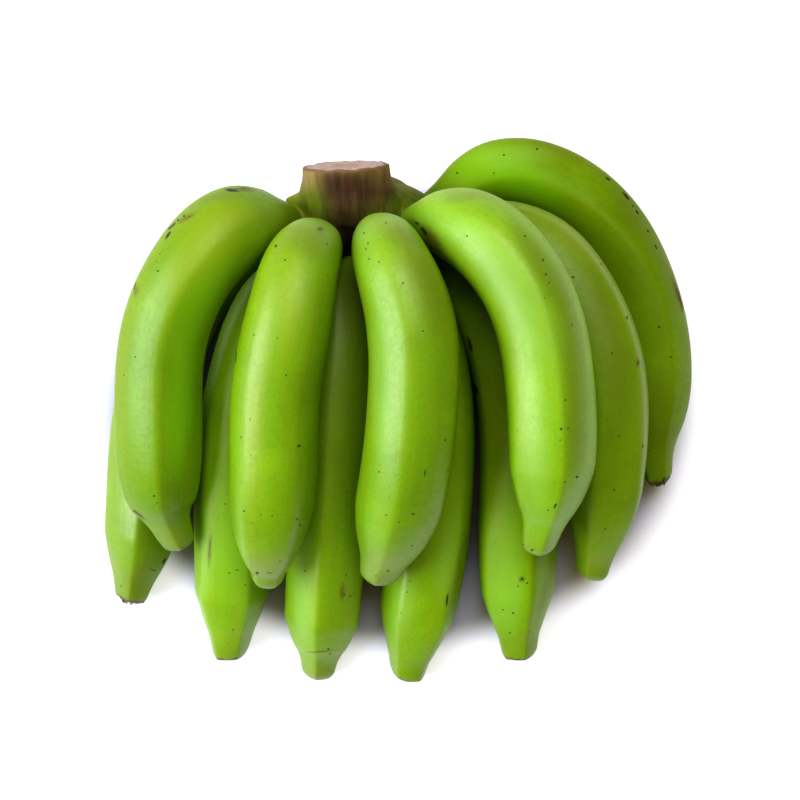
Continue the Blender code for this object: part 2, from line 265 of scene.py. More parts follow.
# Tones of the crown, linear values. Where there are two, fibres of both lie side by side
BROWN = ((0.048, 0.025, 0.014), (0.088, 0.050, 0.030))
DULL_GREEN = ((0.060, 0.085, 0.004), (0.110, 0.150, 0.008))
FRESH_GREEN = ((0.158, 0.205, 0.014), (0.215, 0.280, 0.034))
TAN = ((0.245, 0.185, 0.070), (0.325, 0.250, 0.120))
FLESH = ((0.315, 0.228, 0.238), (0.445, 0.352, 0.350))
CORE_TONE = (0.360, 0.235, 0.190)
SHEATH_TONE = (0.185, 0.130, 0.075)
CUT_RIM_TONE = (0.200, 0.120, 0.080)
RED_LINE_TONE = (0.060, 0.018, 0.014)
# Painted shade where the crown's foot goes down between the fingers
NOTCH_SHADE_TONE = (0.020, 0.020, 0.006)
# The red line runs down the stub at this x, in mm
RED_LINE = -20.6
CROWN_GLOSS = 0.14

# Floor: the oval where the bunch's shadow is painted, in mm, the painted shadow's tones from the middle
# out, and a painted glow that whitens the floor outside it
SHADE_MIDDLE = (-2.2, -4.0, 0.0)
SHADE_HALF = (124.0, 97.0, 1000.0)
SHADE_TONES = ((0.20, 0.20, 0.26), (0.41, 0.42, 0.70))
FLOOR_TONE = (0.52, 0.52, 0.72)
GLOW_TONE = (0.97, 0.97, 1.0)
GLOW_STRENGTH = 0.40

# Soft lights: name, place and size in m, power in W, colour
SOFTBOXES = (
    ("softbox_left", (-3.20, -0.24, 2.25), 3.4, 140.0, (0.91, 1.0, 1.12)),
    ("softbox_over", (0.20, 0.75, 1.50), 1.2, 13.0, (1.0, 1.0, 1.0)),
)
LIGHT_TARGET = (0.0, 0.0, 0.03)

# The room's light: its colour, where its brighter side is, strength on the far side and on that one
ROOM_TONE = (1.0, 0.84, 0.26)
ROOM_SIDE = (-0.72, 0.34, 0.60)
ROOM_LIGHT = (0.27, 0.54)

# Marks on the peel: kind, pixel at its middle, length and width in mm, direction in degrees from
# the picture's right turning towards its top
MARKS = {
    "finger_a": (
        ("yellow", (196, 256), 34.0, 14.0, 52), ("yellow", (238, 214), 20.0, 10.0, 8),
        ("fresh", (204, 300), 40.0, 13.0, 66), ("yellow", (222, 248), 26.0, 13.0, 48),
        ("fresh", (180, 410), 56.0, 9.0, 86),
        ("olive", (222, 196), 20.0, 5.0, 14), ("yellow", (214, 214), 26.0, 12.0, 20),
        ("pale", (176, 540), 15.0, 11.0, -50),
        ("scar", (232, 190), 5.4, 1.7, -8), ("scar", (244, 188), 5.0, 0.6, 3),
        ("stain", (246, 190), 8.0, 1.6, 3), ("dot", (263, 190), 1.0, 0.8, 0),
        ("scar", (172, 226), 4.0, 0.9, 42), ("scar", (168, 235), 3.6, 1.1, 58),
        ("stain", (186, 218), 7.5, 2.0, 30), ("dot", (178, 220), 0.9, 0.7, 0),
        ("dot", (184, 216), 0.7, 0.6, 0), ("dot", (190, 217), 0.6, 0.6, 0),
        ("dot", (157, 262), 0.7, 0.6, 0), ("dot", (158, 271), 0.9, 0.6, 0),
        ("dot", (160, 254), 0.6, 0.5, 0), ("scar", (135, 286), 3.0, 0.5, 75),
        ("stain", (136, 291), 4.0, 1.8, 72), ("dot", (135, 357), 0.8, 0.6, 0),
        ("dot", (124, 375), 0.6, 0.6, 0), ("scar", (136, 518), 5.2, 0.7, -40),
        ("stain", (136, 518), 6.0, 1.8, -40), ("dot", (132, 514), 0.8, 0.6, 0),
        ("dot", (154, 496), 1.0, 1.0, 0), ("dot", (157, 503), 0.6, 0.6, 0),
    ),
    "finger_b": (
        ("olive", (306, 236), 30.0, 16.0, -12), ("yellow", (290, 300), 38.0, 8.0, 84),
        ("pale", (268, 568), 22.0, 14.0, 0),
        ("scar", (236, 357), 5.8, 0.5, 86), ("dot", (276, 246), 1.1, 0.9, 0),
        ("dot", (285, 260), 0.7, 0.6, 0), ("dot", (254, 335), 0.8, 0.6, 0),
        ("dot", (277, 338), 0.6, 0.5, 0), ("dot", (286, 375), 0.8, 0.6, 0),
        ("stain", (320, 229), 2.4, 2.0, 0), ("dot", (320, 229), 0.9, 0.8, 0),
        ("dot", (327, 244), 0.8, 0.7, 0), ("dot", (241, 437), 0.7, 0.6, 0),
        ("dot", (299, 446), 1.4, 0.9, 20), ("dot", (244, 511), 0.9, 0.7, 0),
        ("dot", (272, 516), 0.6, 0.6, 0), ("dot", (297, 519), 0.8, 0.6, 0),
        ("dot", (300, 525), 0.9, 0.6, 0), ("dot", (280, 561), 0.7, 0.6, 0),
        ("dot", (257, 573), 1.2, 1.1, 30), ("scar", (270, 573), 2.4, 0.35, -8),
    ),
    "finger_c": (
        ("olive", (420, 270), 40.0, 14.0, -66), ("olive", (400, 232), 18.0, 9.0, -30),
        ("pale", (378, 568), 20.0, 13.0, 30), ("bloom", (377, 385), 64.0, 9.0, 88),
        ("dot", (364, 233), 0.9, 0.7, 60), ("dot", (368, 243), 1.0, 0.5, 60),
        ("dot", (366, 249), 0.7, 0.5, 0), ("dot", (386, 223), 0.7, 0.6, 0),
        ("dot", (369, 259), 0.9, 0.5, 0), ("dot", (379, 262), 0.8, 0.5, 0),
        ("dot", (403, 283), 0.7, 0.6, 0), ("dot", (423, 331), 0.6, 0.6, 0),
        ("scar", (425, 473), 2.6, 0.6, 84), ("dot", (413, 514), 1.1, 0.8, 0),
        ("dot", (386, 515), 0.7, 0.6, 0), ("dot", (445, 440), 0.9, 0.7, 0),
        ("dot", (448, 470), 0.7, 0.6, 0), ("dot", (379, 472), 0.6, 0.6, 0),
        ("dot", (388, 571), 1.0, 0.8, 10), ("dot", (376, 576), 0.9, 0.5, 0),
        ("dot", (412, 546), 0.8, 0.6, 0), ("dot", (399, 522), 0.6, 0.6, 0),
    ),
    "finger_d": (
        ("olive", (578, 400), 80.0, 10.0, -84), ("olive", (545, 268), 44.0, 9.0, -56),
        ("bloom", (510, 290), 54.0, 15.0, -54), ("bloom", (535, 470), 50.0, 9.0, 90),
        ("stain", (432, 240), 13.0, 5.0, -48), ("olive", (465, 196), 22.0, 7.0, -4),
        ("scar", (424, 231), 4.2, 1.3, -58), ("scar", (417, 223), 2.4, 0.8, -40),
        ("dot", (467, 236), 0.8, 0.7, 0), ("dot", (525, 236), 1.0, 0.8, 0),
        ("dot", (543, 260), 1.1, 0.8, 50), ("dot", (546, 274), 1.0, 0.8, 50),
        ("dot", (549, 283), 0.7, 0.6, 0), ("dot", (572, 325), 0.8, 0.6, 0),
        ("dot", (565, 400), 0.8, 0.7, 0), ("dot", (561, 429), 1.2, 0.9, 0),
        ("dot", (568, 428), 0.9, 0.7, 0), ("dot", (560, 440), 0.7, 0.6, 0),
        ("dot", (577, 477), 1.2, 1.0, 0), ("dot", (565, 482), 1.2, 0.5, 0),
        ("scar", (555, 506), 2.6, 0.7, 70), ("dot", (548, 510), 0.9, 0.5, 0),
        ("dot", (532, 550), 1.2, 1.0, 0), ("dot", (521, 545), 1.2, 0.5, 70),
    ),
    "finger_e": (
        ("olive", (612, 345), 62.0, 12.0, -76), ("pale", (577, 238), 30.0, 8.0, -48),
        # The long pale strip along the right edge of finger_e is painted sheen
        ("pale", (644, 420), 56.0, 5.0, -85), ("pale", (600, 560), 12.0, 8.0, 0),
        ("dot", (573, 277), 1.0, 0.8, 0), ("dot", (601, 264), 0.8, 0.7, 0),
        ("dot", (627, 318), 1.3, 0.8, 60), ("stain", (638, 363), 2.8, 1.8, 80),
        ("dot", (638, 363), 1.1, 0.6, 80), ("dot", (612, 353), 0.9, 0.7, 0),
        ("dot", (619, 436), 0.8, 0.7, 0), ("dot", (643, 446), 1.2, 0.6, 80),
        ("dot", (614, 490), 0.9, 0.7, 0), ("dot", (605, 529), 0.9, 0.5, 0),
    ),
    "finger_f": (
        ("olive", (652, 238), 66.0, 10.0, -56), ("olive", (560, 150), 34.0, 8.0, -20),
        ("fresh", (478, 166), 30.0, 16.0, 20), ("fresh", (520, 178), 30.0, 16.0, -25),
        ("bloom", (508, 154), 44.0, 10.0, 4), ("olive", (662, 430), 44.0, 10.0, -88),
        ("dot", (504, 155), 1.0, 0.8, 0), ("dot", (537, 149), 0.9, 0.8, 0),
        ("dot", (457, 173), 0.9, 0.8, 0), ("dot", (494, 173), 0.7, 0.6, 0),
        ("scar", (608, 179), 2.2, 0.9, -40), ("scar", (626, 196), 4.6, 1.0, -55),
        ("dot", (633, 206), 0.9, 0.7, -55), ("scar", (637, 212), 2.0, 0.8, -58),
        ("dot", (648, 231), 1.1, 0.7, -60), ("scar", (656, 247), 2.0, 0.6, -65),
        ("dot", (659, 327), 0.9, 0.8, 0), ("dot", (671, 357), 0.9, 0.7, 0),
        ("scar", (680, 299), 9.0, 1.3, -76), ("stain", (677, 292), 14.0, 2.8, -74),
    ),
    "finger_g": (
        # The pale strip along the left edge of finger_g is painted sheen
        ("olive", (140, 580), 20.0, 9.0, 62), ("pale", (113, 560), 24.0, 4.0, -78),
        ("scar", (164, 561), 3.4, 1.0, 52), ("scar", (153, 570), 3.0, 0.5, -28),
        ("dot", (121, 586), 0.7, 0.6, 0),
    ),
    "finger_h": (
        ("bloom", (205, 560), 60.0, 8.0, 86), ("bloom", (238, 560), 50.0, 13.0, 86),
        ("fresh", (238, 560), 50.0, 16.0, 86), ("stain", (194, 564), 12.0, 1.3, 86),
        ("dot", (225, 504), 0.8, 0.7, 0),
        ("dot", (229, 573), 0.7, 0.6, 0), ("dot", (237, 570), 1.6, 0.4, 0),
        ("dot", (233, 630), 0.8, 0.6, 0), ("dot", (245, 585), 0.8, 0.5, 0),
    ),
    "finger_i": (
        # The olive patch along the upper part of finger_i, under the upper row, is painted shade
        ("pale", (318, 674), 12.0, 9.0, 0), ("olive", (338, 366), 84.0, 18.0, 87),
        ("bloom", (300, 600), 50.0, 9.0, 86),
        ("stain", (342, 592), 6.5, 1.8, 86), ("dot", (344, 595), 1.0, 0.8, 0),
        ("dot", (350, 596), 1.6, 0.4, 10), ("dot", (328, 649), 1.1, 0.8, 0),
        ("stain", (318, 652), 13.0, 0.7, 3), ("dot", (330, 654), 1.0, 0.6, 0),
        ("dot", (305, 571), 0.8, 0.7, 0), ("dot", (346, 575), 1.0, 0.4, 0),
    ),
    "finger_j": (
        ("olive", (457, 575), 54.0, 6.0, 82), ("bloom", (402, 615), 46.0, 9.0, 80),
        ("bloom", (448, 560), 40.0, 8.0, 82), ("scar", (447, 600), 5.8, 0.8, 84),
        ("dot", (407, 592), 0.6, 0.6, 0), ("dot", (410, 581), 0.7, 0.4, 0),
        ("dot", (401, 613), 0.6, 0.4, 0),
    ),
    "finger_k": (
        # Both olive patches of finger_k, on its right side and its upper part, are painted shade
        ("olive", (548, 590), 50.0, 7.0, 84), ("olive", (486, 410), 76.0, 16.0, -82),
        ("fresh", (506, 606), 30.0, 12.0, 86), ("bloom", (504, 588), 60.0, 13.0, 88),
        ("scar", (463, 346), 6.0, 1.2, -76), ("scar", (476, 389), 5.5, 1.1, -70),
        ("stain", (522, 579), 2.6, 2.2, 40), ("dot", (522, 579), 1.1, 0.9, 40),
        ("dot", (527, 583), 0.9, 0.6, 0), ("dot", (518, 586), 0.7, 0.6, 0),
        ("dot", (513, 613), 0.9, 0.7, 0), ("dot", (503, 610), 0.7, 0.6, 0),
        ("dot", (510, 633), 0.8, 0.6, 0), ("dot", (478, 534), 0.7, 0.5, 0),
        ("dot", (529, 632), 0.6, 0.5, 0),
    ),
}


# Smooth curve through given points

def second_slopes(knots, values):
    count = len(knots)
    gaps = [knots[i + 1] - knots[i] for i in range(count - 1)]
    low = [0.0] * count
    mid = [1.0] * count
    high = [0.0] * count
    right = [0.0] * count
    for i in range(1, count - 1):
        low[i] = gaps[i - 1]
        mid[i] = 2.0 * (gaps[i - 1] + gaps[i])
        high[i] = gaps[i]
        rise_after = (values[i + 1] - values[i]) / gaps[i]
        rise_before = (values[i] - values[i - 1]) / gaps[i - 1]
        right[i] = 6.0 * (rise_after - rise_before)
    for i in range(1, count):
        share = low[i] / mid[i - 1]
        mid[i] -= share * high[i - 1]
        right[i] -= share * right[i - 1]
    bend = [0.0] * count
    bend[-1] = right[-1] / mid[-1]
    for i in range(count - 2, -1, -1):
        bend[i] = (right[i] - high[i] * bend[i + 1]) / mid[i]
    return bend


def cubic(knots, values, bend, at):
    i = 0
    while i < len(knots) - 2 and at > knots[i + 1]:
        i += 1
    gap = knots[i + 1] - knots[i]
    a = knots[i + 1] - at
    b = at - knots[i]
    part = (bend[i] * a ** 3 + bend[i + 1] * b ** 3) / (6.0 * gap)
    part += (values[i] / gap - bend[i] * gap / 6.0) * a
    part += (values[i + 1] / gap - bend[i + 1] * gap / 6.0) * b
    return part


def even_line(points, count=400, steps=800):
    knots = [0.0]
    for a, b in zip(points, points[1:]):
        knots.append(knots[-1] + (Vector(b) - Vector(a)).length)
    axes = [[p[k] for p in points] for k in range(3)]
    bends = [second_slopes(knots, axis) for axis in axes]
    raw = []
    for n in range(steps + 1):
        at = knots[-1] * n / steps
        raw.append(Vector([cubic(knots, axes[k], bends[k], at) for k in range(3)]))
    run = [0.0]
    for a, b in zip(raw, raw[1:]):
        run.append(run[-1] + (b - a).length)
    line = []
    i = 0
    for n in range(count + 1):
        goal = run[-1] * n / count
        while i < len(run) - 2 and run[i + 1] < goal:
            i += 1
        share = (goal - run[i]) / (run[i + 1] - run[i])
        line.append(raw[i].lerp(raw[i + 1], share))
    return line, run[-1]


def frames_of(line):
    last = len(line) - 1
    ahead = []
    for i in range(len(line)):
        step = line[min(i + 1, last)] - line[max(i - 1, 0)]
        ahead.append(step.normalized())
    middle = len(line) // 2
    up = Vector((0.0, 0.0, 1.0))
    ups = [None] * len(line)
    ups[middle] = (up - ahead[middle] * up.dot(ahead[middle])).normalized()
    for i in range(middle + 1, len(line)):
        was = ups[i - 1]
        ups[i] = (was - ahead[i] * was.dot(ahead[i])).normalized()
    for i in range(middle - 1, -1, -1):
        was = ups[i + 1]
        ups[i] = (was - ahead[i] * was.dot(ahead[i])).normalized()
    return ahead, ups


def smooth_steps(knots, at):
    """Value at a place on a curve that never overshoots its knots."""
    places = [p for p, _ in knots]
    values = [v for _, v in knots]
    count = len(places)
    rises = [(values[i + 1] - values[i]) / (places[i + 1] - places[i]) for i in range(count - 1)]
    slopes = [0.0] * count
    for i in range(1, count - 1):
        before = rises[i - 1]
        after = rises[i]
        if before * after > 0.0:
            slopes[i] = 2.0 * before * after / (before + after)
    slopes[-1] = rises[-1]
    i = 0
    while i < count - 2 and at > places[i + 1]:
        i += 1
    gap = places[i + 1] - places[i]
    t = (at - places[i]) / gap
    value = (2 * t ** 3 - 3 * t ** 2 + 1) * values[i]
    value += (t ** 3 - 2 * t ** 2 + t) * gap * slopes[i]
    value += (-2 * t ** 3 + 3 * t ** 2) * values[i + 1]
    value += (t ** 3 - t ** 2) * gap * slopes[i + 1]
    return value


def ramp(at, start, end):
    t = max(0.0, min(1.0, (at - start) / (end - start)))
    return t * t * (3.0 - 2.0 * t)


def ridge_share(angle):
    """1 on a ridge and 0 in the middle of a flat."""
    wide = 360.0 / RIDGES
    off = abs((math.degrees(angle) + wide / 2.0) % wide - wide / 2.0)
    return 1.0 - off / (wide / 2.0)


def section(angle, place, flat_sides):
    """Radius of the five-ridged section, as a share of the finger's half girth at that place."""
    near_neck, on_body, at_end = flat_sides
    tip = ramp(place, 0.55, 0.86)
    depth = near_neck + (on_body - near_neck) * ramp(place, 0.22, 0.48)
    depth += (at_end - on_body) * tip
    soft = RIDGE_SOFT[0] + (RIDGE_SOFT[1] - RIDGE_SOFT[0]) * tip
    wide = 360.0 / RIDGES
    half = wide / 2.0
    off = (math.degrees(angle) + half) % wide - half
    off = min(math.sqrt(off * off + soft ** 2), half)
    flat = math.cos(math.radians(half)) / math.cos(math.radians(half - off))
    same_size = (1.0 - MEAN_LOSS * CAD_DEPTH) / (1.0 - MEAN_LOSS * depth)
    return (1.0 - depth + depth * flat) * same_size


# Fingers

def row_places():
    places = [start + share * n / rows for start, share, rows in STRETCHES for n in range(rows)]
    return places + [1.0]


def girth_share(name, place):
    """Half girth of a finger at a place along it, as a share of its fullest."""
    share = smooth_steps(FULLNESS + tuple(zip(END_PLACES, FORM[name]["end"])), place)
    return share * (1.0 + (FORM[name]["neck"] - 1.0) * (1.0 - ramp(place, 0.18, 0.42)))


def swing_at(name, angle, place):
    """Direction of a point of the section, with the finger's turn and twist."""
    turn = FINGERS[name][1] + FORM[name]["twist"] * (1.0 - ramp(place, 0.30, 0.65))
    return angle + math.radians(turn)


def inside(co):
    """The nearest place that is not outside the CAD part's box."""
    low, high = cad_box
    return Vector([min(max(co[k], low[k]), high[k]) for k in range(3)])


def skin(name):
    half_girth, _, points = FINGERS[name]
    line, length = even_line(points)
    ahead, ups = frames_of(line)
    places = row_places()
    seed = Vector((ord(name[-1]) * 13.7, 0.0, 0.0))
    bm = bmesh.new()
    rows = len(places) - 1 + 2 * CAP_ROWS
    bmesh.ops.create_grid(bm, x_segments=AROUND, y_segments=rows, size=1.0)
    way = bm.verts.layers.float_vector.new("way")
    along = bm.verts.layers.float.new("place")
    crest = bm.verts.layers.float.new("ridge")
    dry = bm.verts.layers.float.new("dry")
    form = FORM[name]
    for vert in bm.verts:
        column = int(round((vert.co.x + 1.0) / 2.0 * AROUND)) % AROUND
        row = int(round((vert.co.y + 1.0) / 2.0 * rows)) - CAP_ROWS
        shrink = 1.0
        if row < 0:
            shrink = 1.0 + row / CAP_ROWS
        elif row > len(places) - 1:
            shrink = 1.0 - (row - len(places) + 1) / CAP_ROWS
        place = places[max(0, min(len(places) - 1, row))]
        i = min(int(round(place * (len(line) - 1))), len(line) - 1)
        spot = place * (len(line) - 1)
        low = min(int(spot), len(line) - 2)
        centre = line[low].lerp(line[low + 1], spot - low)
        up = ups[low].lerp(ups[low + 1], spot - low).normalized()
        side = ahead[i].cross(up).normalized()
        angle = 2.0 * math.pi * column / AROUND
        swing = swing_at(name, angle, place)
        out = up * math.cos(swing) + side * math.sin(swing)
        reach = half_girth * SKIN_SHARE * girth_share(name, place) * section(angle, place, form["flat"])
        waves = noise.noise((centre + out * WAVE_RADIUS) * WAVE_PACE + seed)
        reach *= 1.0 + WAVE_REACH * waves * ramp(place, 0.05, 0.2)
        co = centre + out * reach * shrink
        across = Vector((1.0, 0.0, 0.0)) - ahead[i] * ahead[i].x
        lean = (co - centre).dot(across) * form["slant"]
        lean -= abs(form["slant"]) * half_girth * SLANT_BACK
        co += ahead[i] * lean * ramp(place, 0.955, 1.0)
        if shrink < 1.0 and place > 0.5:
            lumps = noise.noise(co * 0.42 + seed) + 0.6 * noise.noise(co * 1.1 + seed)
            co += ahead[i] * form["remnant"] * (abs(lumps) + 0.3) * ramp(1.0 - shrink, 0.0, 0.35)
        vert.co = inside((co + TO_BASE) * MM)
        vert[way] = (math.cos(angle) * WAY_RADIUS, math.sin(angle) * WAY_RADIUS, place * length)
        vert[along] = place
        vert[crest] = ridge_share(angle)
        vert[dry] = ramp(1.0 - shrink, 0.0, 0.2) if place > 0.5 else 0.0
    bmesh.ops.remove_doubles(bm, verts=bm.verts[:], dist=0.00002)
    bmesh.ops.recalc_face_normals(bm, faces=bm.faces[:])
    return bm


def new_piece(name, bm, material, node):
    mesh = bpy.data.meshes.new(name)
    bm.to_mesh(mesh)
    bm.free()
    mesh.shade_smooth()
    mesh.materials.append(material)
    obj = bpy.data.objects.new(name, mesh)
    bpy.context.scene.collection.objects.link(obj)
    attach(obj, "root")
    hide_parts(node)
    return obj


# Shader helpers

class Shader:
    """A material's node tree with short calls for the nodes used here."""

    def __init__(self, name):
        self.material = bpy.data.materials.new(name)
        self.material.use_nodes = True
        self.tree = self.material.node_tree
        self.surface = self.tree.nodes["Principled BSDF"]

    def put(self, kind, **settings):
        made = self.tree.nodes.new("ShaderNode" + kind)
        for key, value in settings.items():
            setattr(made, key, value)
        return made

    def feed(self, socket, value):
        if isinstance(value, bpy.types.NodeSocket):
            self.tree.links.new(value, socket)
        elif isinstance(value, (tuple, list, Vector)) and len(value) == 3 and socket.type == "RGBA":
            socket.default_value = (*value, 1.0)
        else:
            socket.default_value = value

    def math(self, operation, a, b=0.0):
        made = self.put("Math", operation=operation)
        self.feed(made.inputs[0], a)
        self.feed(made.inputs[1], b)
        return made.outputs[0]

    def times(self, a, b):
        return self.math("MULTIPLY", a, b)

    def plus(self, a, b):
        return self.math("ADD", a, b)

    def swayed(self, grain, reach):
        """A grain brought around nought, with this full reach."""
        return self.times(self.math("SUBTRACT", grain, 0.5), reach)

    def vector(self, operation, a, b=(0.0, 0.0, 0.0)):
        made = self.put("VectorMath", operation=operation)
        self.feed(made.inputs[0], a)
        self.feed(made.inputs[1], b)
        return made.outputs["Value" if operation == "LENGTH" else "Vector"]

    def spread(self, value, low, high, to_low=0.0, to_high=1.0, smooth=True):
        made = self.put("MapRange", interpolation_type="SMOOTHSTEP" if smooth else "LINEAR")
        self.feed(made.inputs["Value"], value)
        made.inputs["From Min"].default_value = low
        made.inputs["From Max"].default_value = high
        made.inputs["To Min"].default_value = to_low
        made.inputs["To Max"].default_value = to_high
        return made.outputs["Result"]

    def mix(self, share, a, b):
        made = self.put("Mix", data_type="RGBA")
        self.feed(made.inputs["Factor"], share)
        self.feed(made.inputs[6], a)
        self.feed(made.inputs[7], b)
        return made.outputs[2]

    def tinted(self, colour, mask, strength, tone):
        """The colour with a tone laid over it where the mask is."""
        return self.mix(self.times(mask, strength), colour, tone)

    def grain(self, where, scale, detail=2.0, rough=0.5, stretch=None):
        if stretch is not None:
            mapped = self.put("Mapping")
            self.feed(mapped.inputs["Vector"], where)
            mapped.inputs["Scale"].default_value = stretch
            where = mapped.outputs["Vector"]
        made = self.put("TexNoise")
        self.feed(made.inputs["Vector"], where)
        made.inputs["Scale"].default_value = scale
        made.inputs["Detail"].default_value = detail
        made.inputs["Roughness"].default_value = rough
        return made.outputs["Fac"]

    def attribute(self, name, out="Fac"):
        return self.put("Attribute", attribute_name=name).outputs[out]

    def millimetres(self):
        where = self.put("TexCoord").outputs["Object"]
        return self.vector("MULTIPLY", where, (1000.0, 1000.0, 1000.0))

    def oval(self, where, middle, half_sizes, degrees=0.0):
        """How far out a place is: 0 in the middle of an oval and 1 on its edge."""
        mapped = self.put("Mapping", vector_type="TEXTURE")
        self.feed(mapped.inputs["Vector"], where)
        mapped.inputs["Location"].default_value = middle
        mapped.inputs["Rotation"].default_value = (0.0, 0.0, math.radians(degrees))
        mapped.inputs["Scale"].default_value = half_sizes
        return self.vector("LENGTH", mapped.outputs["Vector"])

    def finished(self, colour, rough, gloss, height, strength, distance):
        """The material, with its colour, its surface and a bump from the height."""
        bump = self.put("Bump")
        self.feed(bump.inputs["Height"], height)
        bump.inputs["Strength"].default_value = strength
        bump.inputs["Distance"].default_value = distance
        self.feed(self.surface.inputs["Base Color"], colour)
        self.feed(self.surface.inputs["Roughness"], rough)
        self.feed(self.surface.inputs["Normal"], bump.outputs["Normal"])
        self.surface.inputs["Specular IOR Level"].default_value = gloss
        return self.material


# Marks

def sight(pixel):
    """The camera's line of sight through a pixel, in mm."""
    eye = Vector((0.0, 0.0, EYE_HEIGHT))
    right = (pixel[0] - PICTURE / 2) * MM_PER_PIXEL
    up = (PICTURE / 2 - pixel[1]) * MM_PER_PIXEL
    return eye + TO_BASE, (Vector((right, up, 0.0)) - eye).normalized()


def mark_place(tree, pixel):
    eye, way = sight(pixel)
    hit = tree.ray_cast(eye * MM, way)
    if hit[0] is None:
        hit = tree.find_nearest((eye + way * (EYE_HEIGHT - MARK_HEIGHT)) * MM)
    return hit[0] / MM


def mark_mask(shader, where, wobble, spot, size, degrees, edge):
    away = shader.oval(where, spot, [side / 2.0 for side in size], degrees)
    return shader.spread(shader.plus(away, wobble), 1.0 - edge, 1.0 + edge, 1.0, 0.0)


# Peel

def peel_material(name, skin_tree):
    shader = Shader(name + "_peel")
    green, yellow = PEEL[name]
    pale = (green[0] * 1.22 + 0.02, green[1] * 1.22 + 0.02, green[2] + 0.006)
    deep = tuple(c * 0.72 for c in green)
    way = shader.attribute("way", "Vector")
    place = shader.attribute("place")
    ridge = shader.attribute("ridge")
    here = shader.millimetres()

    patches = shader.grain(here, 0.030, 3.0, 0.55)
    bands = shader.grain(way, 0.085, 3.0, 0.55, (1.0, 1.0, 0.16))
    fibres = shader.grain(way, 0.95, 3.0, 0.6, (1.0, 1.0, 0.07))
    pores = shader.grain(here, 0.55, 3.0, 0.6)
    colour = shader.tinted(green, shader.spread(bands, 0.46, 0.72), 0.65, yellow)
    colour = shader.mix(shader.spread(patches, 0.50, 0.72, 0.0, 0.55), colour, pale)
    colour = shader.mix(shader.spread(patches, 0.48, 0.30, 0.0, 0.55), colour, deep)
    colour = shader.mix(shader.spread(fibres, 0.35, 0.70, 0.0, 0.40), colour, yellow)
    colour = shader.mix(shader.spread(pores, 0.42, 0.72, 0.0, 0.28), colour, deep)
    colour = shader.tinted(colour, shader.spread(ridge, 0.80, 0.99), 0.16, RIDGE_TONE)

    # Olive towards both ends, with a dry edge and a scab where the flower was
    colour = shader.tinted(colour, shader.spread(place, 0.90, 0.985), 0.55, END_TONE)
    tip_edge = shader.plus(place, shader.swayed(pores, 0.02))
    colour = shader.tinted(colour, shader.spread(tip_edge, 0.992, 0.9985), DRY_RIM[name], DRY_TONE)
    scab = shader.mix(shader.spread(pores, 0.40, 0.62), *SCAB_TONES)
    colour = shader.tinted(colour, shader.attribute("dry"), DRY_RIM[name], scab)
    colour = shader.tinted(colour, shader.spread(place, 0.15, 0.03), 0.65, NECK_TONE)

    # Pale flecks and lengthwise streaks
    flecks = shader.grain(here, 1.5, 2.0, 0.5)
    colour = shader.mix(shader.spread(flecks, 0.60, 0.76, 0.0, 0.18), colour, pale)
    streaks = shader.grain(way, 0.42, 2.0, 0.5, (1.0, 1.0, 0.03))
    colour = shader.mix(shader.spread(streaks, 0.52, 0.70, 0.0, 0.16), colour, deep)

    # Pinprick dots over the whole peel, of uneven size and strength
    cells = shader.put("TexVoronoi")
    shader.feed(cells.inputs["Vector"], here)
    cells.inputs["Scale"].default_value = PINPRICKS_PER_MM
    chance = shader.put("SeparateColor")
    shader.feed(chance.inputs["Color"], cells.outputs["Color"])
    size = shader.spread(chance.outputs[0], 0.35, 1.0, 0.0, 0.115, smooth=False)
    strength = shader.spread(chance.outputs[1], 0.2, 1.0, 0.25, 0.9, smooth=False)
    dot = shader.times(shader.math("LESS_THAN", cells.outputs["Distance"], size), strength)
    colour = shader.mix(dot, colour, PINPRICK_TONE)

    # Patches, scars, stains and single dots read off the picture
    wobble = shader.swayed(shader.grain(here, 0.9, 3.0, 0.6), 1.5)
    drift = shader.swayed(bands, 1.6)
    rough = shader.spread(pores, 0.3, 0.7, 0.36, 0.43)
    rough = shader.plus(rough, shader.spread(place, 0.48, 0.20, 0.0, 0.12))
    raised = shader.times(dot, -0.4)
    for kind, pixel, long, wide, degrees in MARKS[name]:
        spot = mark_place(skin_tree, pixel)
        # The bloom, fresh and olive kinds also paint sheen, light and shade into the peel's colour
        if kind in PATCHES:
            tone, strength = PATCHES[kind]
            size = (long, wide, wide * 1.5)
            mask = mark_mask(shader, here, drift, spot, size, degrees, PATCH_EDGE)
            colour = shader.tinted(colour, mask, strength, tone)
            continue
        tone, strength, edge = SMALL_MARKS[kind]
        mask = mark_mask(shader, here, wobble, spot, (long, wide, MARK_DEPTH), degrees, edge)
        colour = shader.tinted(colour, mask, strength, tone)
        rough = shader.math("MAXIMUM", rough, shader.times(mask, 0.6))
        raised = shader.plus(raised, shader.times(mask, 0.5))

    height = shader.plus(shader.times(fibres, 0.25), shader.times(pores, 0.35))
    height = shader.plus(height, raised)
    return shader.finished(colour, rough, GLOSS[name], height, 0.45, 0.0004)


# Crown

def bent_tube(rings, sides):
    bm = bmesh.new()
    rows = len(rings) - 1
    bmesh.ops.create_grid(bm, x_segments=sides, y_segments=rows, size=1.0)
    for vert in bm.verts:
        n = int(round((vert.co.x + 1.0) / 2.0 * sides)) % sides
        row = int(round((vert.co.y + 1.0) / 2.0 * rows))
        vert.co = rings[row][n] * MM
    bmesh.ops.remove_doubles(bm, verts=bm.verts[:], dist=0.00001)
    rim = [edge for edge in bm.edges if edge.is_boundary]
    bmesh.ops.holes_fill(bm, edges=rim, sides=0)
    return bm


def turns(sides):
    return [2.0 * math.pi * n / sides for n in range(sides)]


